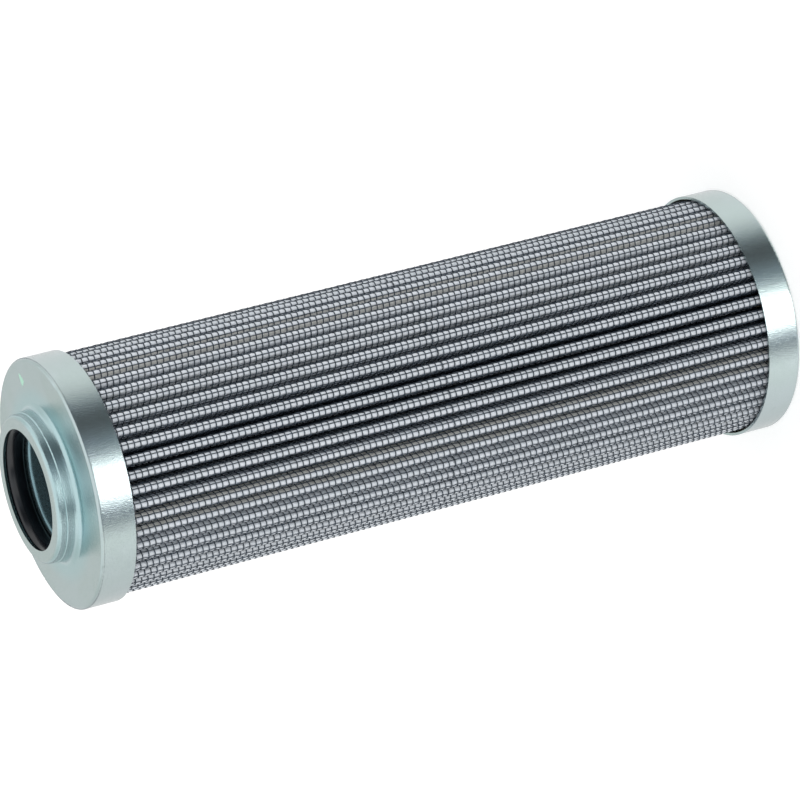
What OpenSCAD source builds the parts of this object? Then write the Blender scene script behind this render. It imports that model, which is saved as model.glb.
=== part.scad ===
// Pleated hydraulic filter element with two pressed end caps.
// It stands on its closed end, with the axis on Z and the neck on top.
// The origin is the centre of the closed end's outer face. Sizes are in millimetres.

/* [End caps] */
// Outer diameter of both end caps
cap_d = 47; // [45:0.5:56]
// Depth of each cap, from its flat face to the edge of its skirt
cap_h = 6.7; // [5:0.1:12]
// Thickness of the pressed sheet
sheet_t = 0.5; // [0.4:0.05:0.7]
// Outer corner radius between a cap's face and its skirt
cap_corner = 0.6; // [0.5:0.1:2]
// Length of pleats that shows between the two caps
window_len = 130.4; // [60:0.1:300]

/* [Neck] */
// Height of the neck above the open cap's face
neck_h = 4.3; // [3.8:0.1:8]
// Outer corner radius of the neck's rolled lip
lip_corner = 0.8; // [0.6:0.1:1.4]
// Radius of the bend at the foot of the neck
foot_bend = 1.1; // [0.7:0.1:1.4]
// Step in the neck's wall, above the middle of its height
neck_step = 0.2; // [0.1:0.01:0.35]

/* [Seal] */
// Diameter of the housing spigot that the neck slides over
spigot_d = 22; // [20:0.1:23]
// Inner diameter of the sealing ring
ring_d = 21.8; // [21:0.1:22.2]
// Radial thickness of the sealing ring
ring_section = 2.4; // [1.8:0.1:3]
// Width of the flange that backs the sealing ring
flange_w = 4.4; // [3:0.1:5]
// Length of the collar that guides the spigot
collar_len = 8.5; // [4:0.1:10]

/* [Support tube] */
// Wall of the perforated support tube
tube_wall = 0.8; // [0.6:0.1:1.2]
// Diameter of the holes in the support tube
hole_d = 4.5; // [3:0.1:5]
// Distance between two rows of holes
hole_pitch = 7.5; // [6:0.1:15]
// Number of holes in one row
holes_around = 8; // [4:1:8]
// Plain length left at each end of the support tube
tube_plain = 11; // [10:0.5:20]

/* [Pleats] */
// Number of pleats around the element
pleat_count = 50; // [36:1:52]
// Inner bend radius at the tip of a pleat
tip_bend = 0.4; // [0.2:0.01:0.45]
// Thickness of the outer wire mesh, without its raised wires
mesh_t = 0.2; // [0.15:0.01:0.24]
// Thickness of the wire mesh that backs the media
back_mesh_t = 0.18; // [0.12:0.01:0.22]
// Thickness of each fleece
fleece_t = 0.07; // [0.05:0.01:0.1]
// Thickness of each of the two glass fibre layers
glass_t = 0.12; // [0.08:0.01:0.15]

/* [Wires of the outer mesh] */
// Distance between two neighbouring wires
wire_pitch = 1.23; // [1:0.01:2]
// Width of a raised wire
wire_w = 0.22; // [0.15:0.01:0.3]
// Height of a raised wire over the mesh
wire_rise = 0.1; // [0.06:0.01:0.12]
// Reach of the raised wires down each flank, from the crest of a pleat
wire_reach = 3; // [2:0.1:5]

/* [Adhesive] */
// Depth of the adhesive bed between a cap and the ends of the pleats
bed_t = 2; // [1:0.1:3]

/* [Hidden] */

$fn = 96;
eps = 0.01;
first_turn = 5.1;         // turn of the first pleat's crest from the X axis
arc_over = 0.002;         // arcs are larger by this, so that they cut their flanks cleanly
arc_fn = 64;              // facets of a pleat's arcs, so that none ends beside a flank's cut

// Clearances
collar_clear = 0.15;      // spigot in the collar, on the radius
mouth_clear = 0.35;       // spigot in the neck's mouth, on the radius
ring_clear = 0.1;         // sealing ring in the neck's wall
lip_clear = 0.05;         // sealing ring under the lip
ring_end_clear = 0.35;    // sealing ring over the collar's flange
tube_clear = 0.05;        // collar in the support tube
tube_end_clear = 0.3;     // end of the support tube under the flange
pack_clear = 0.1;         // pleats on the support tube
fold_clear = 0.01;        // between neighbouring inner folds
rim_clear = 0.28;         // raised wires inside a cap's skirt
seam_clear = 0.12;        // seam strip inside its pleat
bed_clear = 0.02;         // adhesive beside round walls

// Heights
body_len = window_len + 2 * cap_h;
top_z = body_len + neck_h;
bed_low_z = sheet_t + bed_t;
bed_high_z = body_len - sheet_t - bed_t;
pack_len = bed_high_z - bed_low_z;
flange_z = body_len - 2 * sheet_t;

// Radii of the round pieces
cap_r = cap_d / 2;
cap_in_r = cap_r - sheet_t;
corner_in = max(cap_corner - sheet_t, 0.2);
mouth_r = spigot_d / 2 + mouth_clear;
bore_r = spigot_d / 2 + collar_clear;
ring_r = (ring_d + ring_section) / 2;
neck_in_r = ring_r + ring_section / 2 + ring_clear;
neck_r = neck_in_r + sheet_t;
collar_r = bore_r + sheet_t;
collar_bend = 0.8;
flange_r = collar_r + flange_w;
tube_in_r = collar_r + tube_clear;
tube_r = tube_in_r + tube_wall;
tube_top_z = flange_z - tube_end_clear;

// Layers of the pleated pack, each pair of offsets counted inwards from the outer face
outer_mesh_in = mesh_t;
outer_fleece_in = outer_mesh_in + fleece_t;
coarse_in = outer_fleece_in + glass_t;
fine_in = coarse_in + glass_t;
inner_fleece_in = fine_in + fleece_t;
ply_t = inner_fleece_in + back_mesh_t;

// A pleat is an arc at its tip, two straight flanks and an arc at its inner fold.
// All arcs share their centres, so that every layer runs parallel to the next.
half_turn = 180 / pleat_count;
half_share = PI / pleat_count;
fold_least = ply_t + fold_clear;
fold_reach = max(tube_r + pack_clear,
                 (fold_least * (1 - half_share) + fold_clear) / half_share);
fold_r = (half_share * fold_reach - fold_clear) / (1 - half_share);
tip_r = ply_t + tip_bend;
crest_r = cap_in_r - rim_clear - wire_rise;
tip_centre = crest_r - tip_r;
fold_centre = fold_reach + fold_r;

// The flank is the tangent that crosses between the tip's and the fold's circles
fold_x = fold_centre * cos(half_turn);
fold_y = fold_centre * sin(half_turn);
span = norm([fold_x - tip_centre, fold_y]);
bend_sum = tip_r + fold_r - ply_t;
flank_turn = atan2(fold_y, fold_x - tip_centre) - acos(bend_sum / span);
fold_sweep = flank_turn - half_turn;

// Raised wires run along every pleat, at even steps around the unrolled mesh
arc_half = tip_r * flank_turn * PI / 180;
flank_len = sqrt(pow(span, 2) - pow(bend_sum, 2));
fold_arc = (fold_r - ply_t) * fold_sweep * PI / 180;
pleat_len = 2 * (arc_half + flank_len + fold_arc);
wires_round = round(pleat_count * pleat_len / wire_pitch);
wire_step = pleat_count * pleat_len / wires_round;

function turned(p, a) =
    [p[0] * cos(a) - p[1] * sin(a), p[0] * sin(a) + p[1] * cos(a)];
function polar(r, a) = [r * cos(a), r * sin(a)];
function pleat_turn(i) = first_turn + 2 * half_turn * i;

// Where the flanks of every pleat meet its arcs, for the face that lies d inside the outer face
function pleat_corners(d) =
    let (tip = [tip_centre, 0], fold = [fold_x, fold_y],
         tip_arc_r = tip_r - d, fold_arc_r = fold_r - ply_t + d, back = half_turn + 180)
    [tip + polar(tip_arc_r, -flank_turn), tip + polar(tip_arc_r, flank_turn),
     fold + polar(fold_arc_r, back + fold_sweep), fold + polar(fold_arc_r, back - fold_sweep)];

// A point on the tip or a flank, s along the mesh from the crest and h above its face
function on_tip(s, h) =
    let (a = s / tip_r * 180 / PI)
    [tip_centre, 0] + polar(tip_r + h, a);
function on_flank(s, h) =
    let (side = sign(s), run = abs(s) - arc_half,
         foot = polar(tip_r + h, flank_turn) + run * [-sin(flank_turn), cos(flank_turn)])
    [tip_centre + foot[0], side * foot[1]];
function on_mesh(s, h) = abs(s) <= arc_half ? on_tip(s, h) : on_flank(s, h);

module each_pleat() {
    for (i = [0:pleat_count - 1])
        rotate(pleat_turn(i))
            children();
}

// Everything inside the pleated face that lies d inside the outer face
module inside_pleats(d) {
    difference() {
        union() {
            polygon([for (i = [0:pleat_count - 1], p = pleat_corners(d))
                     turned(p, pleat_turn(i))]);
            each_pleat()
                translate([tip_centre, 0])
                    circle(r = tip_r - d + arc_over, $fn = arc_fn);
        }
        each_pleat()
            translate([fold_x, fold_y])
                circle(r = fold_r - ply_t + d + arc_over, $fn = arc_fn);
    }
}

// Lengthwise wires that stand out of the tip and the upper flanks of every pleat
module raised_wires() {
    for (i = [0:pleat_count - 1])
        let (place = i * pleat_len)
            rotate(pleat_turn(i))
                for (k = [ceil((place - wire_reach) / wire_step):floor((place + wire_reach) / wire_step)])
                    translate(on_mesh(k * wire_step - place, wire_rise - wire_w / 2))
                        circle(d = wire_w);
}

// A layer of the pack between two depths, from one adhesive bed to the other
module pleated_layer(outer_d, inner_d) {
    translate([0, 0, bed_low_z])
        linear_extrude(height = pack_len)
            difference() {
                inside_pleats(outer_d);
                inside_pleats(inner_d);
            }
}

// Half section of a round cup with its closed side at the bottom
module cup_section(r, h, corner) {
    square([r - corner, h]);
    translate([0, corner])
        square([r, h - corner]);
    translate([r - corner, corner])
        intersection() {
            circle(r = corner);
            translate([0, -corner])
                square([corner, corner]);
        }
}

// Half section of a cup that opens downwards, with its closed side at height z
module lid_section(r, z, depth, corner) {
    translate([0, z])
        mirror([0, 1])
            cup_section(r, depth, corner);
}

// The corner that is left between a wall at radius r, a floor at height z and a round bend
module bend_corner(r, z, bend, reach) {
    difference() {
        translate([r, z])
            square([reach, reach]);
        translate([r + bend, z + bend])
            circle(r = bend);
    }
}

module open_end_cap() {
    step_z = body_len + 0.6 * neck_h;
    foot_r = neck_r + neck_step;
    color([0.72, 0.78, 0.78])
        rotate_extrude() difference() {
            union() {
                lid_section(cap_r, body_len, cap_h, cap_corner);
                lid_section(neck_r, top_z, neck_h + sheet_t, lip_corner);
                lid_section(foot_r, step_z, step_z - body_len + sheet_t, neck_step);
                bend_corner(foot_r, body_len, foot_bend, foot_bend);
            }
            lid_section(cap_in_r, body_len - sheet_t, cap_h, corner_in);
            translate([0, body_len - 2 * sheet_t])
                square([mouth_r, neck_h + 3 * sheet_t]);
            lid_section(neck_in_r, top_z - sheet_t, neck_h + sheet_t,
                        max(lip_corner - sheet_t, 0.2));
        }
}

module closed_end_cap() {
    color([0.72, 0.78, 0.78])
        rotate_extrude() difference() {
            cup_section(cap_r, cap_h, cap_corner);
            translate([0, sheet_t])
                cup_section(cap_in_r, cap_h, corner_in);
        }
}

// Drawn collar: its flange backs the sealing ring and its tube guides the spigot
module seal_collar() {
    bend_z = flange_z + sheet_t;
    color([0.55, 0.66, 0.68])
        rotate_extrude() difference() {
            union() {
                translate([bore_r, bend_z - collar_len])
                    square([sheet_t, collar_len]);
                translate([bore_r, flange_z])
                    square([flange_r - bore_r, sheet_t]);
                translate([collar_r, flange_z - collar_bend + sheet_t])
                    square([collar_bend - sheet_t, collar_bend - sheet_t]);
            }
            difference() {
                translate([bore_r - eps, bend_z - collar_bend])
                    square([collar_bend + eps, collar_bend + eps]);
                translate([bore_r + collar_bend, bend_z - collar_bend])
                    circle(r = collar_bend);
            }
            translate([bore_r + collar_bend, bend_z - collar_bend])
                circle(r = collar_bend - sheet_t);
        }
}

// Moulded ring with an oblong section, rounded above and below
module sealing_ring() {
    tall = neck_h - lip_clear - ring_end_clear;
    low_z = flange_z + sheet_t + ring_end_clear;
    color([0.06, 0.06, 0.07])
        rotate_extrude() {
            translate([ring_r, low_z + ring_section / 2])
                circle(d = ring_section);
            translate([ring_r, low_z + tall - ring_section / 2])
                circle(d = ring_section);
            translate([ring_r - ring_section / 2, low_z + ring_section / 2])
                square([ring_section, tall - ring_section]);
        }
}

// Every second row of holes is turned by half a step
module support_tube() {
    rows = floor((tube_top_z - sheet_t - 2 * tube_plain) / hole_pitch);
    first_z = (tube_top_z + sheet_t - rows * hole_pitch) / 2;
    color([0.62, 0.68, 0.7])
        difference() {
            translate([0, 0, sheet_t])
                cylinder(r = tube_r, h = tube_top_z - sheet_t);
            translate([0, 0, sheet_t - 1])
                cylinder(r = tube_in_r, h = tube_top_z - sheet_t + 2);
            for (row = [0:rows], turn = [0:holes_around - 1])
                translate([0, 0, first_z + row * hole_pitch])
                    rotate([0, 90, (turn + (row % 2) / 2) * 360 / holes_around])
                        translate([0, 0, tube_in_r - 1])
                            cylinder(d = hole_d, h = tube_wall + 2);
        }
}

module outer_wire_mesh() {
    color([0.25, 0.27, 0.3])
        translate([0, 0, bed_low_z])
            linear_extrude(height = pack_len)
                difference() {
                    union() {
                        inside_pleats(0);
                        raised_wires();
                    }
                    inside_pleats(outer_mesh_in);
                }
}

module outer_fleece() {
    color([0.85, 0.87, 0.9])
        pleated_layer(outer_mesh_in, outer_fleece_in);
}

module coarse_glass_layer() {
    color([0.95, 0.95, 0.93])
        pleated_layer(outer_fleece_in, coarse_in);
}

module fine_glass_layer() {
    color([0.9, 0.9, 0.86])
        pleated_layer(coarse_in, fine_in);
}

module inner_fleece() {
    color([0.85, 0.87, 0.9])
        pleated_layer(fine_in, inner_fleece_in);
}

module inner_wire_mesh() {
    color([0.35, 0.37, 0.4])
        pleated_layer(inner_fleece_in, ply_t);
}

// Strip of adhesive that joins the two ends of the pleated sheet, inside one pleat
module seam_adhesive() {
    seam_pleat = floor(pleat_count / 2);
    seam_w = 2;
    seam_t = 2 * (tip_bend - seam_clear);
    color([0.8, 0.75, 0.55])
        rotate([0, 0, pleat_turn(seam_pleat)])
            translate([tip_centre - seam_w, -seam_t / 2, bed_low_z])
                cube([seam_w, seam_t, pack_len]);
}

module open_end_adhesive() {
    bed_r = cap_in_r - bed_clear;
    inner_r = tube_r + bed_clear;
    color([0.8, 0.75, 0.55])
        rotate_extrude() difference() {
            lid_section(bed_r, body_len - sheet_t, bed_t, corner_in);
            translate([0, bed_high_z - eps])
                square([inner_r, bed_t + 2 * eps]);
            translate([0, flange_z])
                square([flange_r + bed_clear, sheet_t + eps]);
        }
}

module closed_end_adhesive() {
    bed_r = cap_in_r - bed_clear;
    inner_r = tube_r + bed_clear;
    color([0.8, 0.75, 0.55])
        rotate_extrude() difference() {
            translate([0, sheet_t])
                cup_section(bed_r, bed_t, corner_in);
            translate([0, sheet_t - eps])
                square([inner_r, bed_t + 2 * eps]);
        }
}

open_end_cap();
closed_end_cap();
seal_collar();
sealing_ring();
support_tube();
outer_wire_mesh();
outer_fleece();
coarse_glass_layer();
fine_glass_layer();
inner_fleece();
inner_wire_mesh();
seam_adhesive();
open_end_adhesive();
closed_end_adhesive();
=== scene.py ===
"""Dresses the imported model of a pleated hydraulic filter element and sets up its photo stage."""

import math
import random
from collections import namedtuple

import bpy
from mathutils import Matrix, Vector


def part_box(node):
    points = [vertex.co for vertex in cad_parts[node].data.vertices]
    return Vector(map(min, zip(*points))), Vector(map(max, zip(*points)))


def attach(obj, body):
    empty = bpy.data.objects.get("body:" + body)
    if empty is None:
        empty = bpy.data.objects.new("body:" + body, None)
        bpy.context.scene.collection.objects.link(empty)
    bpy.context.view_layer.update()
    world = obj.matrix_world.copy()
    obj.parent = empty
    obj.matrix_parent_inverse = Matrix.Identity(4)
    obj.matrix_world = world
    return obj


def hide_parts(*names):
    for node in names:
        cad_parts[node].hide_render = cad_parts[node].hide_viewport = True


bl_info = {
    "name": "Hydraulic filter element",
    "version": (1, 0, 0),
    "blender": (4, 5, 0),
    "location": "View3D > Sidebar > Filter",
    "description": "Models the wire cloth and the finishes of a pleated filter element",
    "category": "Object",
}

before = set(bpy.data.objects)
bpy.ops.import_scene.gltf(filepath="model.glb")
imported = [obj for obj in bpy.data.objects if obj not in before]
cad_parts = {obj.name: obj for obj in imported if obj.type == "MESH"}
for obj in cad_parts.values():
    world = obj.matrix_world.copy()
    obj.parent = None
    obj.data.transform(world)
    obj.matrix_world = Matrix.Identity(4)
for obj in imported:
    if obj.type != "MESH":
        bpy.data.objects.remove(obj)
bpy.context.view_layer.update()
MESH_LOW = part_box("outer_wire_mesh")[0][2]
MESH_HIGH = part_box("outer_wire_mesh")[1][2]
MM = 0.001
FACE_HEIGHT = 143.8 * MM
STRAY_SEED = 7
MERGE_DISTANCE = 0.5e-6
BEND_PARTS = 4


# Sizes and colours


class PleatSizes(bpy.types.PropertyGroup):
    count: bpy.props.IntProperty(
        name="Pleats", description="Number of pleats around the element", default=50, min=3
    )
    first_turn: bpy.props.FloatProperty(
        name="First pleat", default=math.radians(5.1), subtype="ANGLE",
        description="Turn of the first pleat's crest from the X axis",
    )
    crest_radius: bpy.props.FloatProperty(
        name="Crest radius", default=22.55 * MM, unit="LENGTH", precision=5,
        description="Distance from the axis to the middle of the wire cloth at a crest",
    )
    tip_radius: bpy.props.FloatProperty(
        name="Tip radius", default=0.87 * MM, unit="LENGTH", precision=5,
        description="Bend radius of the wire cloth at the tip of a pleat",
    )
    fold_place: bpy.props.FloatProperty(
        name="Fold place", default=13.4341 * MM, unit="LENGTH", precision=5,
        description="Distance from the axis to the middle of the bend between two pleats",
    )
    fold_radius: bpy.props.FloatProperty(
        name="Fold radius", default=0.144 * MM, unit="LENGTH", precision=5,
        description="Bend radius of the wire cloth between two pleats",
    )


class ClothSizes(bpy.types.PropertyGroup):
    wire_diameter: bpy.props.FloatProperty(
        name="Hoop wire diameter", default=0.2 * MM, unit="LENGTH", precision=5,
        description="Diameter of the wires that run around the element",
    )
    long_wire_diameter: bpy.props.FloatProperty(
        name="Lengthwise wire diameter", default=0.18 * MM, unit="LENGTH", precision=5,
        description="Diameter of the wires that run along the element",
    )
    weave_height: bpy.props.FloatProperty(
        name="Weave height", default=0.065 * MM, unit="LENGTH", precision=5,
        description="Distance from the middle of the cloth to the middle of a wire that lies over or under",
    )
    wires_round: bpy.props.IntProperty(
        name="Lengthwise wires", default=806, min=3,
        description="Number of lengthwise wires in the whole unfolded cloth",
    )
    wire_shift: bpy.props.FloatProperty(
        name="Wire shift", default=-0.38,
        description="How far the lengthwise wires lie from the first crest, as a share of their spacing",
    )
    row_pitch: bpy.props.FloatProperty(
        name="Row pitch", default=1.23 * MM, unit="LENGTH", precision=5,
        description="Distance between two wires that run around the element",
    )
    woven_reach: bpy.props.FloatProperty(
        name="Woven reach", default=2.5 * MM, unit="LENGTH", precision=5,
        description="Distance from a crest, along the cloth, up to which the wires are bent over and under",
    )
    unevenness: bpy.props.FloatProperty(
        name="Unevenness", default=0.06 * MM, unit="LENGTH", precision=5,
        description="Most that a row of wire strays from its even place",
    )


class FleeceSizes(bpy.types.PropertyGroup):
    low: bpy.props.FloatProperty(
        name="Depth at the wires", default=0.15 * MM, unit="LENGTH", precision=5,
        description="Depth of the fleece's face below the middle of the cloth, under a wire",
    )
    high: bpy.props.FloatProperty(
        name="Swell", default=0.03 * MM, unit="LENGTH", precision=5,
        description="Height of the fleece's face over the middle of the cloth, in a crest's cell",
    )
    back: bpy.props.FloatProperty(
        name="Back", default=0.185 * MM, unit="LENGTH", precision=5,
        description="Depth of the fleece's back below the middle of the cloth",
    )
    reach: bpy.props.FloatProperty(
        name="Swollen reach", default=2.0 * MM, unit="LENGTH", precision=5,
        description="Distance from a crest, along the cloth, up to which the fleece swells cell by cell",
    )


class PackSizes(bpy.types.PropertyGroup):
    coarse_glass: bpy.props.FloatVectorProperty(
        name="Coarse glass", default=(0.19 * MM, 0.31 * MM), size=2, unit="LENGTH", precision=5,
        description="Depths of the coarse glass layer's face and back below the middle of the cloth",
    )
    fine_glass: bpy.props.FloatVectorProperty(
        name="Fine glass", default=(0.315 * MM, 0.435 * MM), size=2, unit="LENGTH", precision=5,
        description="Depths of the fine glass layer's face and back below the middle of the cloth",
    )
    inner_fleece: bpy.props.FloatVectorProperty(
        name="Inner fleece", default=(0.44 * MM, 0.51 * MM), size=2, unit="LENGTH", precision=5,
        description="Depths of the inner fleece's face and back below the middle of the cloth",
    )
    inner_cloth: bpy.props.FloatVectorProperty(
        name="Inner cloth", default=(0.515 * MM, 0.69 * MM), size=2, unit="LENGTH", precision=5,
        description="Depths of the inner wire cloth's face and back below the middle of the outer cloth",
    )
    seam_section: bpy.props.FloatVectorProperty(
        name="Seam strip", default=(2.0 * MM, 0.2 * MM), size=2, unit="LENGTH", precision=5,
        description="Width and thickness of the adhesive strip in the seam",
    )


class RingSizes(bpy.types.PropertyGroup):
    inner_radius: bpy.props.FloatProperty(
        name="Inner radius", default=10.9 * MM, unit="LENGTH", precision=5,
        description="Inner radius of the sealing ring, before it is squeezed",
    )


class Finishes(bpy.types.PropertyGroup):
    zinc: bpy.props.FloatVectorProperty(
        name="Zinc", default=(0.52, 0.6, 0.615), subtype="COLOR", size=3, min=0, max=1,
        description="Colour of the zinc-plated caps",
    )
    zinc_green: bpy.props.FloatVectorProperty(
        name="Zinc, greenish", default=(0.48, 0.57, 0.56), subtype="COLOR", size=3, min=0, max=1,
        description="Colour of the caps where the passivation is thicker",
    )
    # Teal round the neck: partly the plating's own colour, partly painted reflection of the neck and face
    # in each other.
    zinc_teal_and_reflection: bpy.props.FloatVectorProperty(
        name="Zinc, teal", default=(0.43, 0.64, 0.67), subtype="COLOR", size=3, min=0, max=1,
        description="Colour of the open cap around its neck",
    )
    collar: bpy.props.FloatVectorProperty(
        name="Collar", default=(0.25, 0.4, 0.44), subtype="COLOR", size=3, min=0, max=1,
        description="Colour of the seal collar and the support tube",
    )
    wire: bpy.props.FloatVectorProperty(
        name="Wire", default=(0.05, 0.069, 0.094), subtype="COLOR", size=3, min=0, max=1,
        description="Colour of the coated wire cloth",
    )
    fleece: bpy.props.FloatVectorProperty(
        name="Fleece", default=(0.86, 0.915, 0.98), subtype="COLOR", size=3, min=0, max=1,
        description="Colour of the fleece that shows in the cells of the cloth",
    )
    rubber: bpy.props.FloatVectorProperty(
        name="Rubber", default=(0.006, 0.008, 0.011), subtype="COLOR", size=3, min=0, max=1,
        description="Colour of the sealing ring",
    )


class StageSettings(bpy.types.PropertyGroup):
    camera_place: bpy.props.FloatVectorProperty(
        name="Camera place", default=(0.0, -0.839517, 0.426918), size=3,
        subtype="XYZ", unit="LENGTH", precision=5,
        description="Where the camera stands",
    )
    camera_turn: bpy.props.FloatVectorProperty(
        name="Camera turn", size=3, subtype="EULER",
        default=[math.radians(turn) for turn in (-30.48554, 63.20396, -123.34323)],
        description="Rotation of the camera",
    )
    lens: bpy.props.FloatProperty(
        name="Lens", description="Focal length in millimetres", default=219.675, min=10
    )
    surround: bpy.props.FloatProperty(
        name="Surround", description="Strength of the soft light all round", default=0.85, min=0
    )
    key_power: bpy.props.FloatProperty(
        name="Key light", description="Power of the large soft box", default=0.6, min=0, unit="POWER"
    )


# Shader building


def new_group(name, inputs, outputs):
    """A shader node group with named sockets, and its input and output nodes."""
    group = bpy.data.node_groups.new(name, "ShaderNodeTree")
    for label, kind, value in inputs:
        socket = group.interface.new_socket(name=label, in_out="INPUT", socket_type=kind)
        if value is not None:
            socket.default_value = value
    for label, kind in outputs:
        group.interface.new_socket(name=label, in_out="OUTPUT", socket_type=kind)
    return group, group.nodes.new("NodeGroupInput"), group.nodes.new("NodeGroupOutput")


class Builder:
    """Adds nodes to one tree and links them."""

    def __init__(self, tree):
        self.tree = tree

    def node(self, kind, **settings):
        made = self.tree.nodes.new(kind)
        for key, value in settings.items():
            setattr(made, key, value)
        return made

    def feed(self, socket, value):
        if isinstance(value, bpy.types.NodeSocket):
            self.tree.links.new(value, socket)
        elif value is not None:
            socket.default_value = value

    def math(self, operation, a, b=None, c=None, clamp=False):
        made = self.node("ShaderNodeMath", operation=operation, use_clamp=clamp)
        for socket, value in zip(made.inputs, (a, b, c)):
            self.feed(socket, value)
        return made.outputs[0]

    def parts(self, vector):
        """The three outputs of a vector's parts."""
        made = self.node("ShaderNodeSeparateXYZ")
        self.feed(made.inputs[0], vector)
        return made.outputs

    def distance(self, *parts):
        """Square root of the sum of the parts' squares."""
        total = 0.0
        for part in parts:
            total = self.math("MULTIPLY_ADD", part, part, total)
        return self.math("SQRT", total)

    def noise(self, vector, scale, detail=2.0, roughness=0.5, distortion=0.0):
        made = self.node("ShaderNodeTexNoise")
        self.feed(made.inputs["Vector"], vector)
        made.inputs["Scale"].default_value = scale
        made.inputs["Detail"].default_value = detail
        made.inputs["Roughness"].default_value = roughness
        made.inputs["Distortion"].default_value = distortion
        return made.outputs["Fac"]

    def step(self, value, low, high, to_low=0.0, to_high=1.0):
        made = self.node("ShaderNodeMapRange", interpolation_type="SMOOTHSTEP")
        self.feed(made.inputs["Value"], value)
        made.inputs["From Min"].default_value = low
        made.inputs["From Max"].default_value = high
        made.inputs["To Min"].default_value = to_low
        made.inputs["To Max"].default_value = to_high
        return made.outputs["Result"]

    def blend(self, share, a, b):
        made = self.node("ShaderNodeMix", data_type="RGBA")
        self.feed(made.inputs[0], share)
        self.feed(made.inputs[6], a)
        self.feed(made.inputs[7], b)
        return made.outputs[2]

    def bump(self, height, strength, distance, normal=None):
        made = self.node("ShaderNodeBump")
        made.inputs["Strength"].default_value = strength
        made.inputs["Distance"].default_value = distance
        self.feed(made.inputs["Height"], height)
        self.feed(made.inputs["Normal"], normal)
        return made.outputs["Normal"]

    def group(self, tree, **values):
        made = self.node("ShaderNodeGroup", node_tree=tree)
        for key, value in values.items():
            self.feed(made.inputs[key.replace("_", " ")], value)
        return made


def rgba(colour, shade=1.0):
    return (*(min(part * shade, 1.0) for part in colour), 1.0)


def new_material(slot):
    """Makes the finish of a slot: the builder of its tree, its Principled shader and its coordinates."""
    material = bpy.data.materials.new("finish_" + slot)
    material.use_nodes = True
    build = Builder(material.node_tree)
    shader = material.node_tree.nodes["Principled BSDF"]
    place = build.node("ShaderNodeTexCoord").outputs["Object"]
    return build, shader, place


def finish_of(slot):
    """The material that new_material made for a slot."""
    return bpy.data.materials["finish_" + slot]


def plating_group():
    """Passivated plating: cloudy tint, fine crystal grain, and a few rubbed spots."""
    group, given, made = new_group(
        "plating",
        [("Vector", "NodeSocketVector", None), ("Cloud", "NodeSocketFloat", 1.0)],
        [("Tint", "NodeSocketFloat"), ("Grain", "NodeSocketFloat"), ("Rub", "NodeSocketFloat")],
    )
    build = Builder(group)
    vector = given.outputs["Vector"]
    wide = build.noise(vector, 38, 2, 0.5, 0.6)
    small = build.noise(vector, 190, 3, 0.6, 0.3)
    cloud = build.math("ADD", build.math("MULTIPLY", wide, 0.7), build.math("MULTIPLY", small, 0.3))
    tint = build.step(cloud, 0.38, 0.62)
    tint = build.math("MULTIPLY", tint, given.outputs["Cloud"], clamp=True)
    crystals = build.noise(vector, 4200, 2, 0.7)
    specks = build.noise(vector, 6500, 1, 0.5)
    grain = build.math("ADD", crystals, build.math("MULTIPLY", specks, 0.35))
    rub = build.step(build.noise(vector, 420, 4, 0.65), 0.6, 0.72)
    for name, value in (("Tint", tint), ("Grain", grain), ("Rub", rub)):
        build.feed(made.inputs[name], value)
    return group


def cells_group(pleats, cloth):
    """Nearness of a point to the middle of its cell in the cloth, and its depth between two pleats."""
    group, given, made = new_group(
        "cloth_cells",
        [("Vector", "NodeSocketVector", None)],
        [("Pillow", "NodeSocketFloat"), ("Depth", "NodeSocketFloat")],
    )
    build = Builder(group)
    x, y, z = build.parts(given.outputs["Vector"])
    shape, step = pleat_shape(pleats), wire_step(pleats, cloth)
    share = 2 * math.pi / pleats.count
    turn = build.math("SUBTRACT", build.math("ARCTAN2", y, x), pleats.first_turn)
    pleat = build.math("ROUND", build.math("DIVIDE", turn, share))
    own_turn = build.math("SUBTRACT", turn, build.math("MULTIPLY", pleat, share))
    radius = build.distance(x, y)
    out = build.math("MULTIPLY", radius, build.math("COSINE", own_turn))
    out = build.math("SUBTRACT", out, shape.centre)
    side = build.math("MULTIPLY", radius, build.math("SINE", own_turn))
    arc = build.math("ARCTAN2", side, build.math("MAXIMUM", out, 0.0))
    down = build.math("MAXIMUM", build.math("MULTIPLY", out, -1.0), 0.0)
    along = build.math(
        "ADD",
        build.math("MULTIPLY", arc, pleats.tip_radius),
        build.math("MULTIPLY", down, build.math("SIGN", side)),
    )
    along = build.math("ADD", along, build.math("MULTIPLY", pleat, shape.sheet))
    along = build.math("SUBTRACT", along, cloth.wire_shift * step)
    across = build.math("SINE", build.math("MULTIPLY", along, math.pi / step))
    rows = build.math("SUBTRACT", z, first_row(cloth))
    lengthwise = build.math("SINE", build.math("MULTIPLY", rows, math.pi / cloth.row_pitch))
    pillow = build.math("MULTIPLY", build.math("ABSOLUTE", across), build.math("ABSOLUTE", lengthwise))
    build.feed(made.inputs["Pillow"], build.math("POWER", pillow, 0.6))
    build.feed(made.inputs["Depth"], build.math("DIVIDE", down, shape.flank, clamp=True))
    return group


def fibre_group():
    """Fine crossing fibres of a fleece."""
    group, given, made = new_group(
        "fibres", [("Vector", "NodeSocketVector", None)], [("Fibre", "NodeSocketFloat")]
    )
    build = Builder(group)
    total = None
    for turn, stretch in ((0.4, (1.0, 1.0, 0.18)), (2.1, (0.3, 1.0, 1.0))):
        mapping = build.node("ShaderNodeMapping")
        mapping.inputs["Rotation"].default_value = (turn, turn / 2, turn)
        mapping.inputs["Scale"].default_value = stretch
        build.feed(mapping.inputs["Vector"], given.outputs["Vector"])
        strand = build.noise(mapping.outputs["Vector"], 6200, 2, 0.6)
        total = strand if total is None else build.math("ADD", total, strand)
    build.feed(made.inputs["Fibre"], build.math("MULTIPLY", total, 0.5))
    return group


# Materials


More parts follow.
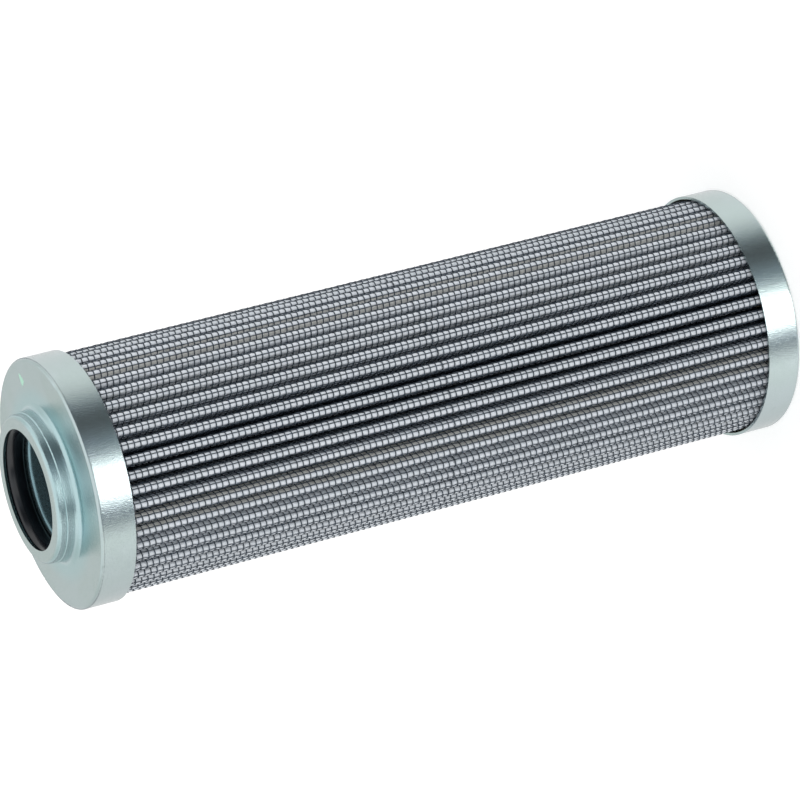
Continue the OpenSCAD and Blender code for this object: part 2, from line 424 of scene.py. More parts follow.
STAIN = (0.5, 0.9, 0.7, 1.0)
# Painted shade: the fleece's colour beside the wires of its cell.
FLEECE_WIRE_SHADE = (0.72, 0.785, 0.86, 1.0)
FLEECE_PATCH = (0.66, 0.73, 0.76, 1.0)
# Painted shade: the fleece's colour deep down between two pleats.
FLEECE_GAP_SHADE = (0.35, 0.43, 0.52, 1.0)
GLASS = (0.8, 0.8, 0.76, 1.0), (0.93, 0.93, 0.9, 1.0)
ADHESIVE = (0.55, 0.5, 0.34, 1.0), (0.66, 0.61, 0.44, 1.0)
WHITE = (1.0, 1.0, 1.0, 1.0)


def zinc_material(finishes, plating):
    """Blue-green passivated zinc of the two caps."""
    build, shader, place = new_material("cap_zinc")
    film = build.group(plating, Vector=place, Cloud=1.0)
    colour = build.blend(film.outputs["Tint"], rgba(finishes.zinc), rgba(finishes.zinc_green))
    rubbed = build.math("MULTIPLY", film.outputs["Rub"], 0.25)
    colour = build.blend(rubbed, colour, rgba(finishes.zinc, 0.8))
    # Teal tint round the neck: partly plating colour, partly painted reflection of the neck and face in
    # each other.
    neck_teal_and_reflection, on_neck = around_neck(build, place)
    colour = build.blend(neck_teal_and_reflection, colour, rgba(finishes.zinc_teal_and_reflection))
    spot = green_spot(build, place)
    colour = build.blend(spot, colour, STAIN)
    build.feed(shader.inputs["Base Color"], colour)
    build.feed(shader.inputs["Metallic"], build.step(spot, 0.0, 1.0, 1.0, 0.25))
    rough = build.step(film.outputs["Grain"], 0.4, 1.0, 0.1, 0.2)
    build.feed(shader.inputs["Roughness"], build.math("MULTIPLY_ADD", on_neck, 0.06, rough))
    grainy = build.bump(film.outputs["Grain"], 0.5, 0.07 * MM)
    build.feed(shader.inputs["Normal"], leaned(build, grainy, build.math("MULTIPLY", on_neck, 0.13)))


def leaned(build, normal, lean):
    """The normal, leaned up along the axis."""
    up = build.node("ShaderNodeCombineXYZ")
    build.feed(up.inputs[2], lean)
    total = build.node("ShaderNodeVectorMath", operation="ADD")
    build.feed(total.inputs[0], normal)
    build.feed(total.inputs[1], up.outputs[0])
    unit = build.node("ShaderNodeVectorMath", operation="NORMALIZE")
    build.feed(unit.inputs[0], total.outputs[0])
    return unit.outputs[0]


def around_neck(build, place):
    """Shares of the neck with the flat face beside it, where the teal tint is partly the plating's colour
    and partly painted reflection of neck and face in each other, and of the neck alone.
    """
    x, y, z = build.parts(place)
    radius = build.distance(x, y)
    inside = build.step(radius, 15.5 * MM, 19.5 * MM, 0.55, 0.0)
    outside = build.step(radius, 13.2 * MM, 13.8 * MM)
    upper = build.step(z, 142 * MM, 143 * MM)
    over_face = build.step(z, FACE_HEIGHT + 0.15 * MM, FACE_HEIGHT + 0.4 * MM)
    teal_and_reflection = build.math("MULTIPLY", build.math("MULTIPLY", inside, outside), upper)
    return teal_and_reflection, build.math("MULTIPLY", outside, over_face)


def green_spot(build, place):
    """Leaf-shaped pale green stain on the flat face of the open cap."""
    mapping = build.node("ShaderNodeMapping", vector_type="TEXTURE")
    mapping.inputs["Location"].default_value = (19.8 * MM, 0.75 * MM, FACE_HEIGHT)
    mapping.inputs["Rotation"].default_value = (0, 0, math.radians(25))
    mapping.inputs["Scale"].default_value = (1.3 * MM, 0.85 * MM, 0.8 * MM)
    build.feed(mapping.inputs["Vector"], place)
    along, across, off = build.parts(mapping.outputs["Vector"])
    across = build.math("MULTIPLY", across, build.math("MULTIPLY_ADD", along, 0.8, 1.2))
    ragged = build.math("MULTIPLY_ADD", build.noise(place, 900, 2), 0.5, build.distance(along, across, off))
    return build.step(ragged, 1.35, 1.05, 0.0, 1.0)


def collar_material(finishes, plating):
    """Darker, smoother plating of the drawn collar."""
    build, shader, place = new_material("collar_zinc")
    film = build.group(plating, Vector=place, Cloud=0.8)
    colour = build.blend(film.outputs["Tint"], rgba(finishes.collar), rgba(finishes.collar, 0.8))
    build.feed(shader.inputs["Base Color"], colour)
    shader.inputs["Metallic"].default_value = 0.75
    build.feed(shader.inputs["Roughness"], build.step(film.outputs["Grain"], 0.4, 1.0, 0.24, 0.36))
    build.feed(shader.inputs["Normal"], build.bump(film.outputs["Grain"], 0.1, 0.02 * MM))


def tube_material(finishes, plating):
    """Galvanised sheet of the support tube."""
    build, shader, place = new_material("tube_steel")
    film = build.group(plating, Vector=place, Cloud=1.0)
    colour = build.blend(film.outputs["Tint"], rgba(finishes.collar, 1.1), rgba(finishes.collar, 0.85))
    build.feed(shader.inputs["Base Color"], colour)
    shader.inputs["Metallic"].default_value = 1.0
    build.feed(shader.inputs["Roughness"], build.step(film.outputs["Grain"], 0.4, 1.0, 0.25, 0.4))
    build.feed(shader.inputs["Normal"], build.bump(film.outputs["Grain"], 0.4, 0.03 * MM))


def wire_material(finishes):
    """Dark coated wire with a slightly uneven coat."""
    build, shader, place = new_material("mesh_wire")
    coat = build.noise(place, 1400, 3, 0.6)
    colour = build.blend(build.step(coat, 0.35, 0.7), rgba(finishes.wire, 0.7), rgba(finishes.wire, 1.35))
    build.feed(shader.inputs["Base Color"], colour)
    build.feed(shader.inputs["Roughness"], build.step(coat, 0.3, 0.7, 0.38, 0.55))
    build.feed(shader.inputs["Normal"], build.bump(coat, 0.2, 0.02 * MM))


def fleece_material(finishes, cells, fibres):
    """Fleece that swells into the cells of the wire cloth, with painted shade beside the wires and down
    between the pleats.
    """
    build, shader, place = new_material("fleece")
    cell = build.group(cells, Vector=place)
    fibre = build.group(fibres, Vector=place).outputs["Fibre"]
    # Painted shade: the fleece darkens from the middle of each cell towards the wires.
    shade = build.step(cell.outputs["Pillow"], 0.1, 0.7)
    colour = build.blend(shade, FLEECE_WIRE_SHADE, rgba(finishes.fleece))
    wide = build.noise(place, 160, 3, 0.6)
    colour = build.blend(build.step(wide, 0.35, 0.7, 0.0, 0.3), colour, FLEECE_PATCH)
    colour = build.blend(build.step(fibre, 0.35, 0.65, 0.0, 0.22), colour, WHITE)
    # Painted shade: the fleece darkens with its depth between two pleats.
    gap_shade = build.step(cell.outputs["Depth"], 0.2, 0.7, 0.0, 0.25)
    colour = build.blend(gap_shade, colour, FLEECE_GAP_SHADE)
    build.feed(shader.inputs["Base Color"], colour)
    shader.inputs["Roughness"].default_value = 0.85
    swell = build.bump(cell.outputs["Pillow"], 0.9, 0.12 * MM)
    build.feed(shader.inputs["Normal"], build.bump(fibre, 0.35, 0.03 * MM, swell))


def glass_fibre_material(fibres):
    """Soft white glass fibre layer."""
    build, shader, place = new_material("glass_fibre")
    fibre = build.group(fibres, Vector=place).outputs["Fibre"]
    colour = build.blend(build.step(fibre, 0.3, 0.7), *GLASS)
    build.feed(shader.inputs["Base Color"], colour)
    shader.inputs["Roughness"].default_value = 0.95
    build.feed(shader.inputs["Normal"], build.bump(fibre, 0.5, 0.05 * MM))


def rubber_material(finishes):
    """Semi-gloss black rubber with a faint bloom."""
    build, shader, place = new_material("seal_rubber")
    bloom = build.noise(place, 260, 4, 0.6)
    colour = build.blend(build.step(bloom, 0.45, 0.75), rgba(finishes.rubber), rgba(finishes.rubber, 2.2))
    build.feed(shader.inputs["Base Color"], colour)
    build.feed(shader.inputs["Roughness"], build.step(bloom, 0.3, 0.7, 0.2, 0.28))
    shader.inputs["Specular IOR Level"].default_value = 0.6
    build.feed(shader.inputs["Normal"], build.bump(build.noise(place, 3000, 2), 0.15, 0.02 * MM))


def adhesive_material():
    """Cast adhesive, slightly mottled."""
    build, shader, place = new_material("adhesive")
    mottle = build.noise(place, 500, 3, 0.6)
    colour = build.blend(build.step(mottle, 0.35, 0.7), *ADHESIVE)
    build.feed(shader.inputs["Base Color"], colour)
    build.feed(shader.inputs["Roughness"], build.step(mottle, 0.3, 0.7, 0.35, 0.55))
    build.feed(shader.inputs["Normal"], build.bump(mottle, 0.4, 0.1 * MM))


def dress(node, slot):
    """Gives a CAD node the finish of its slot."""
    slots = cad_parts[node].data.materials
    slots.clear()
    slots.append(finish_of(slot))


# Wire cloth


def first_row(cloth):
    """Height of the lowest wire that runs around the element."""
    rows = row_count(cloth)
    return (MESH_LOW + MESH_HIGH) / 2 - (rows - 1) / 2 * cloth.row_pitch


def row_count(cloth):
    """Number of wires that run around the element."""
    return int((MESH_HIGH - MESH_LOW) / cloth.row_pitch)


PleatShape = namedtuple("PleatShape", "centre turn arc flank fold sheet")


def pleat_shape(pleats):
    """Tip centre, turn of a tip's side, lengths of its arc, flank, half fold and of the whole sheet."""
    half = math.pi / pleats.count
    centre = pleats.crest_radius - pleats.tip_radius
    run = centre - pleats.fold_place * math.cos(half)
    side = pleats.fold_place * math.sin(half)
    between = math.hypot(run, side)
    slope = math.asin((pleats.tip_radius + pleats.fold_radius) / between)
    turn = math.pi / 2 + slope - math.atan2(side, run)
    arc = pleats.tip_radius * turn
    flank = between * math.cos(slope)
    fold = pleats.fold_radius * (turn - half)
    return PleatShape(centre, turn, arc, flank, fold, 2 * (arc + flank + fold))


def cloth_point(pleats, along, height):
    """A point over the middle of the cloth of pleat 0, and the outward normal there."""
    shape = pleat_shape(pleats)
    side = 1 if along >= 0 else -1
    rest = abs(along) - shape.arc - shape.flank
    if rest > 0:
        half = math.pi / pleats.count
        turn = shape.turn - rest / pleats.fold_radius
        normal = Vector((math.cos(turn), side * math.sin(turn), 0))
        bend = Vector((math.cos(half), side * math.sin(half), 0)) * pleats.fold_place
        return bend - normal * (pleats.fold_radius - height), normal
    turn = min(abs(along) / pleats.tip_radius, shape.turn)
    run = max(abs(along) - shape.arc, 0)
    normal = Vector((math.cos(turn), side * math.sin(turn), 0))
    ahead = Vector((-math.sin(turn), side * math.cos(turn), 0))
    return Vector((shape.centre, 0, 0)) + normal * (pleats.tip_radius + height) + ahead * run, normal


def pleat_rotation(pleats, pleat):
    return Matrix.Rotation(pleats.first_turn + 2 * math.pi * pleat / pleats.count, 4, "Z")


def wire_step(pleats, cloth):
    """Spacing of the lengthwise wires along the cloth."""
    return pleats.count * pleat_shape(pleats).sheet / cloth.wires_round


def crossings(pleats, cloth, pleat, reach):
    """Numbers and places of the lengthwise wires within reach of a pleat's crest."""
    step = wire_step(pleats, cloth)
    start = pleat * pleat_shape(pleats).sheet - cloth.wire_shift * step
    low, high = math.ceil((start - reach) / step), math.floor((start + reach) / step)
    return [(k, k * step - start) for k in range(low, high + 1)]


def hoop_outline(pleats, cloth, odd):
    """The way of one wire around all pleats, over one lengthwise wire and under the next."""
    rise = cloth.weave_height
    step = wire_step(pleats, cloth)
    shape = pleat_shape(pleats)
    end = shape.arc + shape.flank
    points = []
    for pleat in range(pleats.count):
        woven = crossings(pleats, cloth, pleat, cloth.woven_reach)
        stops = [(-end, -rise), (woven[0][1] - step / 2, 0.0)]
        for k, along in woven:
            stops.append((along, rise if (k + odd) % 2 else -rise))
            stops.append((along + step / 2, 0.0))
        stops.append((end, -rise))
        turn = pleat_rotation(pleats, pleat)
        points += [turn @ cloth_point(pleats, along, height)[0] for along, height in stops]
    return points


def lone(obj):
    """Makes obj the only selected and active object."""
    bpy.ops.object.select_all(action="DESELECT")
    obj.select_set(True)
    bpy.context.view_layer.objects.active = obj


def drawn_wire(name, points, diameter, closed):
    """A round wire through the points, as a mesh."""
    bpy.ops.object.select_all(action="DESELECT")
    bpy.ops.mesh.primitive_circle_add(vertices=len(points), radius=1.0)
    wire = bpy.context.object
    wire.name = name
    for vertex, point in zip(wire.data.vertices, points):
        vertex.co = point
    if not closed:
        bpy.ops.object.mode_set(mode="EDIT")
        bpy.ops.mesh.select_all(action="DESELECT")
        bpy.ops.object.mode_set(mode="OBJECT")
        last = {0, len(points) - 1}
        for edge in wire.data.edges:
            edge.select = set(edge.vertices) == last
        bpy.ops.object.mode_set(mode="EDIT")
        bpy.ops.mesh.select_mode(type="EDGE")
        bpy.ops.mesh.delete(type="EDGE_FACE")
        bpy.ops.object.mode_set(mode="OBJECT")
    bpy.ops.object.convert(target="CURVE")
    wire.data.dimensions = "3D"
    wire.data.twist_mode = "Z_UP" if closed else "MINIMUM"
    wire.data.bevel_depth = diameter / 2
    wire.data.bevel_resolution = 0
    wire.data.use_fill_caps = not closed
    bpy.ops.object.convert(target="MESH")
    bpy.ops.object.mode_set(mode="EDIT")
    bpy.ops.mesh.select_all(action="SELECT")
    bpy.ops.mesh.normals_make_consistent(inside=False)
    bpy.ops.object.mode_set(mode="OBJECT")
    bpy.ops.object.shade_smooth()
    return wire


def repeated(obj, count, offset):
    """Repeats obj along Z with an Array modifier."""
    lone(obj)
    array = obj.modifiers.new("rows", "ARRAY")
    array.use_relative_offset = False
    array.use_constant_offset = True
    array.constant_offset_displace = (0, 0, offset)
    array.count = count
    bpy.ops.object.modifier_apply(modifier=array.name)


def joined(objects, name):
    lone(objects[0])
    for obj in objects:
        obj.select_set(True)
    bpy.ops.object.join()
    whole = bpy.context.object
    whole.name = whole.data.name = name
    return whole


def finished(piece, slot, node):
    """Rides and paints a piece that stands for a CAD node, and hides that node."""
    piece.data.materials.clear()
    piece.data.materials.append(finish_of(slot))
    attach(piece, "root")
    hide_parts(node)


def copy_of(obj, name):
    twin = obj.copy()
    twin.data = obj.data.copy()
    twin.name = name
    bpy.context.scene.collection.objects.link(twin)
    return twin


def strayed(piece, cloth):
    """Moves each row a little from its even place, as a real cloth is never quite even."""
    chance = random.Random(STRAY_SEED)
    low = first_row(cloth)
    stray = [chance.uniform(-1, 1) for _ in range(row_count(cloth))]
    swing = [chance.uniform(0, 2 * math.pi) for _ in stray]
    stray, swing = [0, *stray, 0], [0, *swing, 0]
    for vertex in piece.data.vertices:
        row = min(max((vertex.co.z - low) / cloth.row_pitch + 1, 0), len(stray) - 1.001)
        turn = math.atan2(vertex.co.y, vertex.co.x)
        below = int(row)
        waves = [
            0.5 * stray[i] + 0.5 * math.sin(3 * turn + swing[i]) * (0 < i < len(stray) - 1)
            for i in (below, below + 1)
        ]
        vertex.co.z += cloth.unevenness * (waves[0] + (waves[1] - waves[0]) * (row - below))


class FILTER_OT_hoop_wires(bpy.types.Operator):
    """Weave the wires that run around the element, down every pleat and up again"""

    bl_idname = "filter_element.hoop_wires"
    bl_label = "Hoop wires"

    def execute(self, context):
        pleats, cloth = context.scene.filter_pleats, context.scene.filter_cloth
        rings = [
            drawn_wire(f"ring_{odd}", hoop_outline(pleats, cloth, odd), cloth.wire_diameter, True)
            for odd in (0, 1)
        ]
        names = ("hoop_wires_low", "hoop_wires_middle", "hoop_wires_high")
        total = row_count(cloth)
        share = 2 * math.ceil(total / (2 * len(names)))  # even, so that every piece starts alike
        for part, name in enumerate(names):
            rows = range(part * share, min((part + 1) * share, total))
            halves = []
            for odd, ring in enumerate(rings):
                own = [row for row in rows if row % 2 == odd]
                half = copy_of(ring, f"{name}_{odd}")
                lowest = first_row(cloth) + own[0] * cloth.row_pitch
                half.data.transform(Matrix.Translation((0, 0, lowest)))
                repeated(half, len(own), 2 * cloth.row_pitch)
                halves.append(half)
            piece = joined(halves, name)
            strayed(piece, cloth)
            finished(piece, "mesh_wire", "outer_wire_mesh")
        for ring in rings:
            bpy.data.objects.remove(ring)
        return {"FINISHED"}


class FILTER_OT_lengthwise_wires(bpy.types.Operator):
    """Weave the wires that run along the element, bent on the tips and straight down the flanks"""

    bl_idname = "filter_element.lengthwise_wires"
    bl_label = "Lengthwise wires"

    def execute(self, context):
        pleats, cloth = context.scene.filter_pleats, context.scene.filter_cloth
        rise = cloth.weave_height
        low = first_row(cloth)
        bent = []
        for odd in (0, 1):
            points = [Vector((0, 0, MESH_LOW))]
            for row in range(row_count(cloth)):
                height = -rise if (row + odd) % 2 else rise
                points.append(Vector((height, 0, low + row * cloth.row_pitch)))
            points.append(Vector((0, 0, MESH_HIGH)))
            bent.append(drawn_wire(f"bent_{odd}", points, cloth.long_wire_diameter, False))
        ends = [Vector((0, 0, z)) for z in (MESH_LOW, (MESH_LOW + MESH_HIGH) / 2, MESH_HIGH)]
        straight = drawn_wire("straight", ends, cloth.long_wire_diameter, False)
        tips, flanks = [], []
        shape = pleat_shape(pleats)
        reach = shape.arc + shape.flank
        for pleat in range(pleats.count):
            turn = pleat_rotation(pleats, pleat)
            for k, along in crossings(pleats, cloth, pleat, reach):
                woven = abs(along) <= cloth.woven_reach
                place, normal = cloth_point(pleats, along, 0.0 if woven else -rise)
                own_turn = Matrix.Rotation(math.atan2(normal.y, normal.x), 4, "Z")
                wire = copy_of(bent[k % 2] if woven else straight, f"wire_{pleat}_{k}")
                wire.data.transform(turn @ Matrix.Translation(place) @ own_turn)
                (tips if woven else flanks).append(wire)
        for wires, name in ((tips, "lengthwise_wires"), (flanks, "flank_wires")):
            finished(joined(wires, name), "mesh_wire", "outer_wire_mesh")
        for wire in (*bent, straight):
            bpy.data.objects.remove(wire)
        return {"FINISHED"}


def plan_column(pleats, pleat, along, swell=0.0):
    """A plan point of the cloth's middle, the outward normal and the share of the swell there."""
    turn = pleat_rotation(pleats, pleat)
    place, normal = cloth_point(pleats, along, 0.0)
    return turn @ place, turn.to_3x3() @ normal, swell


def fleece_columns(pleats, cloth, fleece):
    """Plan columns of the outer fleece, which swells between the lengthwise wires of every tip."""
    step, shape = wire_step(pleats, cloth), pleat_shape(pleats)
    end = shape.arc + shape.flank
    columns = []
    for pleat in range(pleats.count):
        woven = [along for _, along in crossings(pleats, cloth, pleat, fleece.reach)]
        stops = [(-end, 0), (woven[0], 0)]
        for along in woven[1:]:
            for inner in (along - step * 2 / 3, along - step / 3):
                stops.append((inner, max(math.cos(min(abs(inner) / pleats.tip_radius, math.pi)), 0)))
            stops.append((along, 0))
        stops += [(end, 0), (shape.sheet / 2, 0)]
        columns += [plan_column(pleats, pleat, along, swell) for along, swell in stops]
    return columns


def layer_columns(pleats):
    """Plan columns of a plain layer, close together round the tips and the folds."""
    shape = pleat_shape(pleats)
    parts = [part / BEND_PARTS for part in range(BEND_PARTS + 1)]
    side = [shape.arc * part for part in parts]
    side += [shape.arc + shape.flank + shape.fold * part for part in parts]
    stops = [-along for along in reversed(side[1:-1])] + side
    return [plan_column(pleats, pleat, along) for pleat in range(pleats.count) for along in stops]


def sheet_band(name, columns, levels, face, back, swell=0.0):
    """A closed band of sheet between depths face and back, swollen where a column and a level both are."""
    rows = [
        [place + normal * (swell * level_swell * own_swell - face) + Vector((0, 0, z))
         for place, normal, own_swell in columns]
        for z, level_swell in levels
    ]
    rows += [
        [place - normal * back + Vector((0, 0, z)) for place, normal, _ in columns]
        for z in (levels[-1][0], levels[0][0])
    ]
    rows.append(rows[0])
    places = [part for row in rows for point in (*row, row[0]) for part in point]
    bpy.ops.object.select_all(action="DESELECT")
    bpy.ops.mesh.primitive_grid_add(x_subdivisions=len(columns), y_subdivisions=len(rows) - 1, size=1.0)
    band = bpy.context.object
    band.name = band.data.name = name
    band.data.vertices.foreach_set("co", places)
    bpy.ops.object.mode_set(mode="EDIT")
    bpy.ops.mesh.select_all(action="SELECT")
    bpy.ops.mesh.remove_doubles(threshold=MERGE_DISTANCE)
    bpy.ops.mesh.normals_make_consistent(inside=False)
    bpy.ops.object.mode_set(mode="OBJECT")
    bpy.ops.object.shade_smooth()
    return band


class FILTER_OT_fleece(bpy.types.Operator):
    """Model the outer fleece, which swells into every cell of the wire cloth"""

    bl_idname = "filter_element.fleece"
    bl_label = "Fleece"

    def execute(self, context):
        scene = context.scene
        pleats, cloth, fleece = scene.filter_pleats, scene.filter_cloth, scene.filter_fleece
        columns = fleece_columns(pleats, cloth, fleece)
        total, low, pitch = row_count(cloth), first_row(cloth), cloth.row_pitch
        middle = total // 2
        for name, first, last in (("fleece_low", 0, middle), ("fleece_high", middle, total - 1)):
            levels = [(low + first * pitch, 0)]
            for row in range(first, last):
                levels += [(low + (row + 0.5) * pitch, 1), (low + (row + 1) * pitch, 0)]
            if first == 0:
                levels.insert(0, (MESH_LOW, 0))
            else:
                levels.append((MESH_HIGH, 0))
            band = sheet_band(name, columns, levels, fleece.low, fleece.back, fleece.low + fleece.high)
            strayed(band, cloth)
            finished(band, "fleece", "outer_fleece")
        return {"FINISHED"}


class FILTER_OT_media(bpy.types.Operator):
    """Model the layers behind the outer fleece and the adhesive strip of their seam"""

    bl_idname = "filter_element.media"
    bl_label = "Media"

    def execute(self, context):
        pleats, pack = context.scene.filter_pleats, context.scene.filter_pack
        columns = layer_columns(pleats)
        for name, depths, node, slot in (
            ("coarse_glass", pack.coarse_glass, "coarse_glass_layer", "glass_fibre"),
            ("fine_glass", pack.fine_glass, "fine_glass_layer", "glass_fibre"),
            ("back_fleece", pack.inner_fleece, "inner_fleece", "fleece"),
            ("back_cloth", pack.inner_cloth, "inner_wire_mesh", "mesh_wire"),
        ):
            low, high = (corner[2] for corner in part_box(node))
            layer = sheet_band(name, columns, [(low, 0), (high, 0)], *depths)
            bpy.ops.object.shade_smooth_by_angle(angle=math.radians(50))
            finished(layer, slot, node)
        self.add_seam(pleats, *pack.seam_section)
        return {"FINISHED"}

    def add_seam(self, pleats, width, thickness):
        low, high = (corner[2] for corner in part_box("seam_adhesive"))
        bpy.ops.object.select_all(action="DESELECT")
        bpy.ops.mesh.primitive_cube_add(size=1.0)
        strip = bpy.context.object
        strip.name = strip.data.name = "seam_strip"
        bpy.ops.object.mode_set(mode="EDIT")
        bpy.ops.transform.resize(value=(width, thickness, high - low))
        bpy.ops.transform.translate(value=(pleat_shape(pleats).centre - width / 2, 0, (low + high) / 2))
        bpy.ops.mesh.bevel(offset=thickness / 5, segments=2)
        bpy.ops.object.mode_set(mode="OBJECT")
        strip.data.transform(pleat_rotation(pleats, pleats.count // 2))
        finished(strip, "adhesive", "seam_adhesive")


class FILTER_OT_sealing_ring(bpy.types.Operator):
    """Model the sealing ring with a section that is crowned all round"""

    bl_idname = "filter_element.sealing_ring"
    bl_label = "Sealing ring"

    def execute(self, context):
        low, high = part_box("sealing_ring")
        inner = context.scene.filter_ring.inner_radius
        section = (high[0] - inner) / 2
        bpy.ops.object.select_all(action="DESELECT")
        bpy.ops.mesh.primitive_torus_add(
            major_radius=inner + section, minor_radius=section, major_segments=144, minor_segments=28
        )
        ring = context.object
        ring.name = ring.data.name = "crowned_ring"
        bpy.ops.object.mode_set(mode="EDIT")
        bpy.ops.transform.resize(value=(1, 1, (high[2] - low[2]) / (2 * section)))
        bpy.ops.transform.translate(value=(0, 0, (low[2] + high[2]) / 2))
        bpy.ops.object.mode_set(mode="OBJECT")
        bpy.ops.object.shade_smooth()
        finished(ring, "seal_rubber", "sealing_ring")
        return {"FINISHED"}


class FILTER_OT_finishes(bpy.types.Operator):
    """Make every finish, and dress the plated and cast pieces that the CAD gives"""

    bl_idname = "filter_element.finishes"
    bl_label = "Finishes"

    def execute(self, context):
        finishes = context.scene.filter_finishes
        plating, fibres = plating_group(), fibre_group()
        cells = cells_group(context.scene.filter_pleats, context.scene.filter_cloth)
        for make in (zinc_material, collar_material, tube_material):
            make(finishes, plating)
        wire_material(finishes)
        rubber_material(finishes)
        fleece_material(finishes, cells, fibres)
        glass_fibre_material(fibres)
        adhesive_material()
        for node, slot in (
            ("open_end_cap", "cap_zinc"),
            ("closed_end_cap", "cap_zinc"),
            ("seal_collar", "collar_zinc"),
            ("support_tube", "tube_steel"),
            ("open_end_adhesive", "adhesive"),
            ("closed_end_adhesive", "adhesive"),
        ):
            dress(node, slot)
        return {"FINISHED"}


# Stage


# Turns in degrees from the camera's side, with the brightness that metal mirrors there.
STRIPS = (
    (-180, 0.85), (-140, 0.8), (-90, 1.0), (-56, 1.25), (-51, 0.8), (-47, 0.32), (-36, 0.24), (-31, 0.5),
    (-26, 3.4), (3, 3.4), (8, 0.9), (11, 0.55), (30, 0.33), (35, 0.13), (60, 0.15), (67, 0.42),
    (75, 0.8), (95, 1.12), (140, 0.95), (180, 0.85),
)
BRIGHTEST = 4.0  # a colour ramp holds at most 1, so the background's strength makes up for it
DARK_BAND = (0.04, 0.045, 0.05, 1.0)
BACK_WALL = (0.162, 0.175, 0.169, 1.0)
LAMP_TOP = (0.13, 0.14, 0.145, 1.0)
CEILING = (0.27, 0.275, 0.28, 1.0)


def studio_world(stage):
    """White room for the camera, soft even light, and tall light and dark strips that metal mirrors."""
    world = bpy.data.worlds.new("studio")
    world.use_nodes = True
    world.node_tree.nodes.clear()
    build = Builder(world.node_tree)
    direction = build.node("ShaderNodeTexCoord").outputs["Generated"]
    x, y, z = build.parts(direction)
    turn = build.math("ARCTAN2", x, build.math("MULTIPLY", y, -1.0))
    share = build.math("MULTIPLY_ADD", turn, 1 / (2 * math.pi), 0.5)
    ramp = build.node("ShaderNodeValToRGB")
    colours = ramp.color_ramp
    while len(colours.elements) > 1:
        colours.elements.remove(colours.elements[-1])
    for place, (angle, value) in enumerate(STRIPS):
        at = angle / 360 + 0.5
        element = colours.elements[0] if place == 0 else colours.elements.new(at)
        element.position = at
        cold = 0.12 if 0.2 < value < 0.8 else 0.06 if value < 0.2 else 0.0
        element.color = rgba((1 - cold, 1, 1 + cold), value / BRIGHTEST)
    build.feed(ramp.inputs[0], share)
    strips = ramp.outputs["Color"]
    dark_band = build.blend(build.step(z, -0.22, -0.15, 0.0, 0.85), strips, DARK_BAND)
    strips = build.blend(build.step(z, -0.08, 0.04), dark_band, strips)
    behind = build.step(build.math("ABSOLUTE", turn), 1.6, 2.2, 0.0, 0.7)
    behind = build.math("MULTIPLY", behind, build.step(z, 0.1, 0.3))
    strips = build.blend(behind, strips, BACK_WALL)
    over_lamp = build.step(build.math("ABSOLUTE", build.math("ADD", turn, 0.2)), 0.35, 0.55, 0.85, 0.0)
    over_lamp = build.math("MULTIPLY", over_lamp, build.step(z, -0.25, -0.12))
    strips = build.blend(over_lamp, strips, LAMP_TOP)
    strips = build.blend(build.step(z, 0.5, 0.75), strips, CEILING)
    mirrored = background(build, strips, BRIGHTEST)
    soft, shown = (background(build, WHITE, strength) for strength in (stage.surround, 1.0))
    path = build.node("ShaderNodeLightPath")
    straight = build.math("MAXIMUM", path.outputs["Is Camera Ray"], path.outputs["Is Transmission Ray"])
    lit = mixed(build, path.outputs["Is Glossy Ray"], soft, mirrored)
    made = build.node("ShaderNodeOutputWorld")
    build.feed(made.inputs["Surface"], mixed(build, straight, lit, shown))
    bpy.context.scene.world = world


def background(build, colour, strength):
    made = build.node("ShaderNodeBackground")
    build.feed(made.inputs["Color"], colour)
    build.feed(made.inputs["Strength"], strength)
    return made.outputs[0]


def mixed(build, share, a, b):
    made = build.node("ShaderNodeMixShader")
    for socket, value in zip(made.inputs, (share, a, b)):
        build.feed(socket, value)
    return made.outputs[0]


def soft_box(name, place, target, size, power):
    """A rectangular area light that looks at target and isn't seen itself."""
    light = bpy.data.lights.new(name, "AREA")
    light.shape = "RECTANGLE"
    light.size, light.size_y = size
    light.energy = power
    lamp = bpy.data.objects.new(name, light)
    bpy.context.scene.collection.objects.link(lamp)
    lamp.location = place
    lamp.rotation_euler = (Vector(target) - Vector(place)).to_track_quat("-Z", "Y").to_euler()
    lamp.visible_glossy = False
    lamp.visible_camera = False


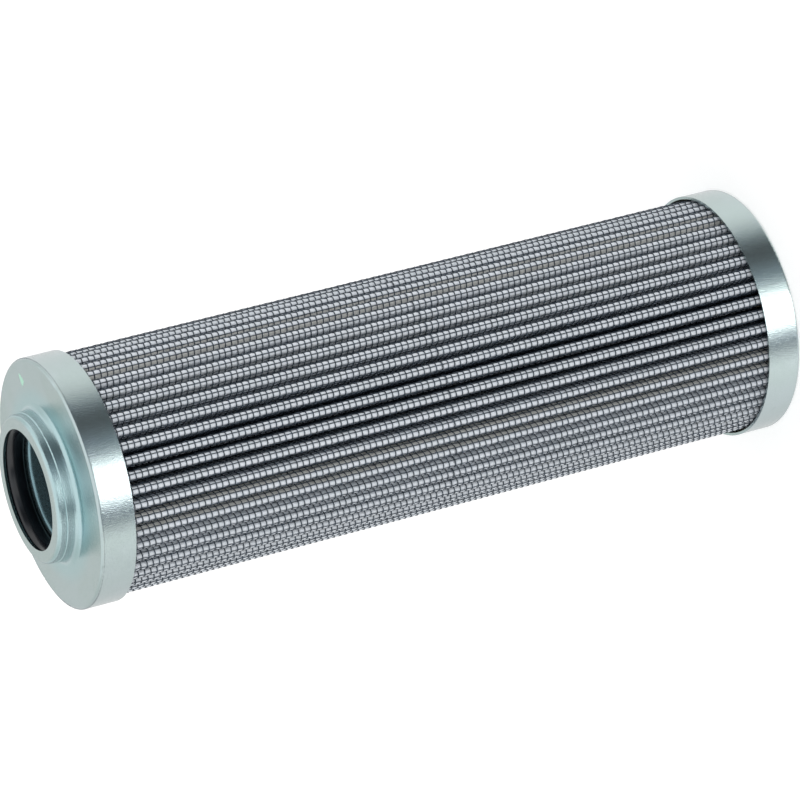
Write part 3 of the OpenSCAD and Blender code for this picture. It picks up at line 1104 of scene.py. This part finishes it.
class FILTER_OT_stage(bpy.types.Operator):
    """Set up the floor, the light and the camera"""

    bl_idname = "filter_element.stage"
    bl_label = "Stage"

    def execute(self, context):
        stage = context.scene.filter_stage
        bpy.ops.object.select_all(action="DESELECT")
        bpy.ops.mesh.primitive_plane_add(size=12.0, location=(0, 0, -0.05 * MM))
        floor = context.object
        floor.name = "floor"
        build, shader, _ = new_material("floor")
        shader.inputs["Base Color"].default_value = (0.8, 0.8, 0.8, 1)
        shader.inputs["Roughness"].default_value = 0.9
        shader.inputs["Specular IOR Level"].default_value = 0.0
        shader.inputs["Emission Color"].default_value = WHITE
        path = build.node("ShaderNodeLightPath")
        build.feed(
            shader.inputs["Emission Strength"],
            build.math("MULTIPLY", path.outputs["Is Camera Ray"], 0.45),
        )
        floor.data.materials.append(finish_of("floor"))
        floor.visible_glossy = False
        studio_world(stage)
        soft_box("key", (0.25, -0.9, 0.45), (0, 0, 0.075), (0.7, 0.9), stage.key_power)
        camera = bpy.data.cameras.new("camera")
        camera.lens = stage.lens
        camera.sensor_width = 36
        camera.clip_start, camera.clip_end = 0.05, 60
        eye = bpy.data.objects.new("camera", camera)
        context.scene.collection.objects.link(eye)
        eye.location = stage.camera_place
        eye.rotation_euler = stage.camera_turn
        context.scene.camera = eye
        context.scene.view_settings.view_transform = "Standard"
        return {"FINISHED"}


class FILTER_PT_panel(bpy.types.Panel):
    bl_label = "Filter element"
    bl_idname = "FILTER_PT_panel"
    bl_space_type = "VIEW_3D"
    bl_region_type = "UI"
    bl_category = "Filter"

    def draw(self, context):
        scene = context.scene
        for key in GROUPS:
            group = getattr(scene, key)
            box = self.layout.box()
            for name in group.__annotations__:
                box.prop(group, name)
        for operator in OPERATORS:
            self.layout.operator(operator.bl_idname)


GROUPS = {
    "filter_pleats": PleatSizes,
    "filter_cloth": ClothSizes,
    "filter_fleece": FleeceSizes,
    "filter_pack": PackSizes,
    "filter_ring": RingSizes,
    "filter_finishes": Finishes,
    "filter_stage": StageSettings,
}
OPERATORS = (
    FILTER_OT_finishes,
    FILTER_OT_fleece,
    FILTER_OT_media,
    FILTER_OT_hoop_wires,
    FILTER_OT_lengthwise_wires,
    FILTER_OT_sealing_ring,
    FILTER_OT_stage,
)


def register():
    for cls in (*GROUPS.values(), *OPERATORS, FILTER_PT_panel):
        bpy.utils.register_class(cls)
    for name, cls in GROUPS.items():
        setattr(bpy.types.Scene, name, bpy.props.PointerProperty(type=cls))


def unregister():
    for name in GROUPS:
        delattr(bpy.types.Scene, name)
    for cls in (FILTER_PT_panel, *reversed(OPERATORS), *reversed(tuple(GROUPS.values()))):
        bpy.utils.unregister_class(cls)


def main():
    register()
    bpy.ops.filter_element.finishes()
    bpy.ops.filter_element.fleece()
    bpy.ops.filter_element.media()
    bpy.ops.filter_element.hoop_wires()
    bpy.ops.filter_element.lengthwise_wires()
    bpy.ops.filter_element.sealing_ring()
    bpy.ops.filter_element.stage()


if __name__ == "__main__":
    main()
